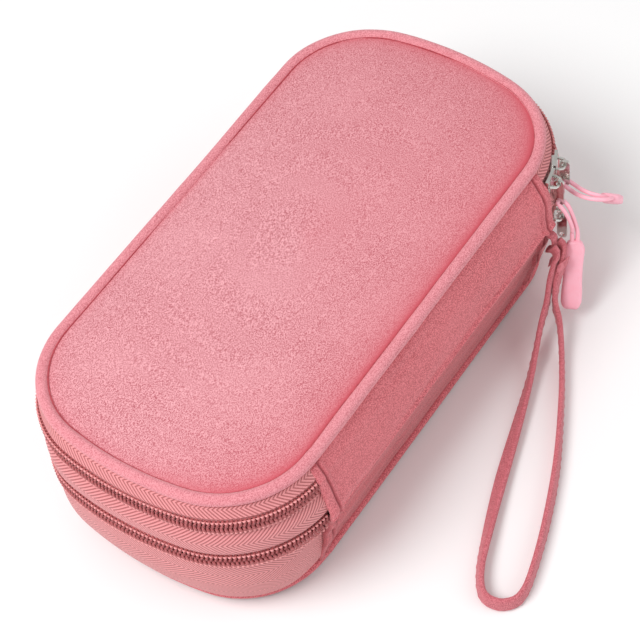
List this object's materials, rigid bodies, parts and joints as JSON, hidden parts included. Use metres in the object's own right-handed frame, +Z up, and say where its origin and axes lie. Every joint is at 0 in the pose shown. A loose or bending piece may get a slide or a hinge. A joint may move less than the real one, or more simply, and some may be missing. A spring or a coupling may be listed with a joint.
{
  "type": "cable organizer pouch",
  "caption": "Double-layer zipped pouch for cables and chargers, with a padded lid, a divided inside and a loop wrist strap.",
  "frame": {"origin": "centre of the bottom panel, on the surface the pouch rests on", "axes": "+X along the length towards the zip sliders and the strap's anchor, -Y towards the spine, +Z up out of the lid"},
  "size_m": [0.19, 0.1463, 0.0631],
  "materials": {
    "melange_cloth": "heathered pink woven polyester",
    "spine_cloth": "the same cloth, seen in shade on the spine",
    "strap_cloth": "folded and stitched strip of the same cloth",
    "zip_tape": "herringbone-woven salmon zip tape",
    "zip_coil": "dusty dark rose nylon coil",
    "lining": "plain grey woven lining",
    "pocket_mesh": "grey net",
    "elastic": "ribbed grey elastic",
    "nickel": "nickel-plated, lightly polished",
    "soft_rubber": "satin pink moulded soft rubber"
  },
  "bodies": {
    "tray": {"bottom_panel": "melange_cloth", "bottom_welt": "spine_cloth", "tray_zip_tape": "zip_tape", "tray_zip_coil": "zip_coil", "tray_spine": "spine_cloth", "tray_lining": "lining", "tray_mesh_pocket": "pocket_mesh", "strap_anchor": "strap_cloth", "wrist_strap": "strap_cloth"},
    "middle": {"divider_panel": "lining", "divider_zip_tape": "zip_tape", "divider_zip_coil": "zip_coil", "middle_zip_tape": "zip_tape", "middle_zip_coil": "zip_coil", "middle_spine": "spine_cloth", "elastic_loops_near": "elastic", "elastic_loops_far": "elastic"},
    "lid": {"top_panel": "melange_cloth", "lid_piping": "melange_cloth", "lid_zip_tape": "zip_tape", "lid_zip_coil": "zip_coil", "lid_spine": "spine_cloth", "lid_lining": "lining", "lid_mesh_pocket": "pocket_mesh"},
    "slider_a": {"upper_slider_a": "nickel"},
    "slider_b": {"upper_slider_b": "nickel"},
    "slider_low": {"lower_slider": "nickel"},
    "tab_a": {"upper_tab_a": "nickel", "pull_a": "soft_rubber"},
    "tab_b": {"upper_tab_b": "nickel", "pull_b": "soft_rubber"},
    "tab_low": {"lower_tab": "nickel"}
  },
  "joints": [
    {"name": "lower_opening", "type": "hinge", "parent": "tray", "child": "middle", "pos_m": [0, -0.0502, 0.035], "axis": [1, 0, 0], "range_deg": [0, 90], "deforming": ["pull_a", "pull_b"]},
    {"name": "upper_opening", "type": "hinge", "parent": "middle", "child": "lid", "pos_m": [0, -0.0483, 0.0505], "axis": [1, 0, 0], "range_deg": [0, 90]},
    {"name": "upper_slider_b_travel", "type": "hinge", "parent": "middle", "child": "slider_b", "pos_m": [0.0586, -0.015, 0.035], "axis": [0, 0, 1], "range_deg": [0, 40]},
    {"name": "upper_slider_a_travel", "type": "hinge", "parent": "middle", "child": "slider_a", "pos_m": [0.0586, -0.015, 0.035], "axis": [0, 0, 1], "range_deg": [0, 40]},
    {"name": "lower_slider_travel", "type": "hinge", "parent": "tray", "child": "slider_low", "pos_m": [0.0586, -0.015, 0.035], "axis": [0, 0, 1], "range_deg": [0, 55]},
    {"name": "upper_tab_a_swing", "type": "hinge", "parent": "slider_a", "child": "tab_a", "pos_m": [0.066, -0.05074, 0.0505], "axis": [-0.9792, -0.2028, 0], "range_deg": [0, 60]},
    {"name": "upper_tab_b_swing", "type": "hinge", "parent": "slider_b", "child": "tab_b", "pos_m": [0.07344, -0.04834, 0.0505], "axis": [-0.9135, -0.4067, 0], "range_deg": [0, 60]},
    {"name": "lower_tab_swing", "type": "hinge", "parent": "slider_low", "child": "tab_low", "pos_m": [0.0662, -0.05172, 0.035], "axis": [-0.9792, -0.2028, 0], "range_deg": [0, 90]}
  ],
  "couplings": [
    {"joint": "upper_slider_a_travel", "follows": "upper_slider_b_travel", "ratio": 1}
  ]
}
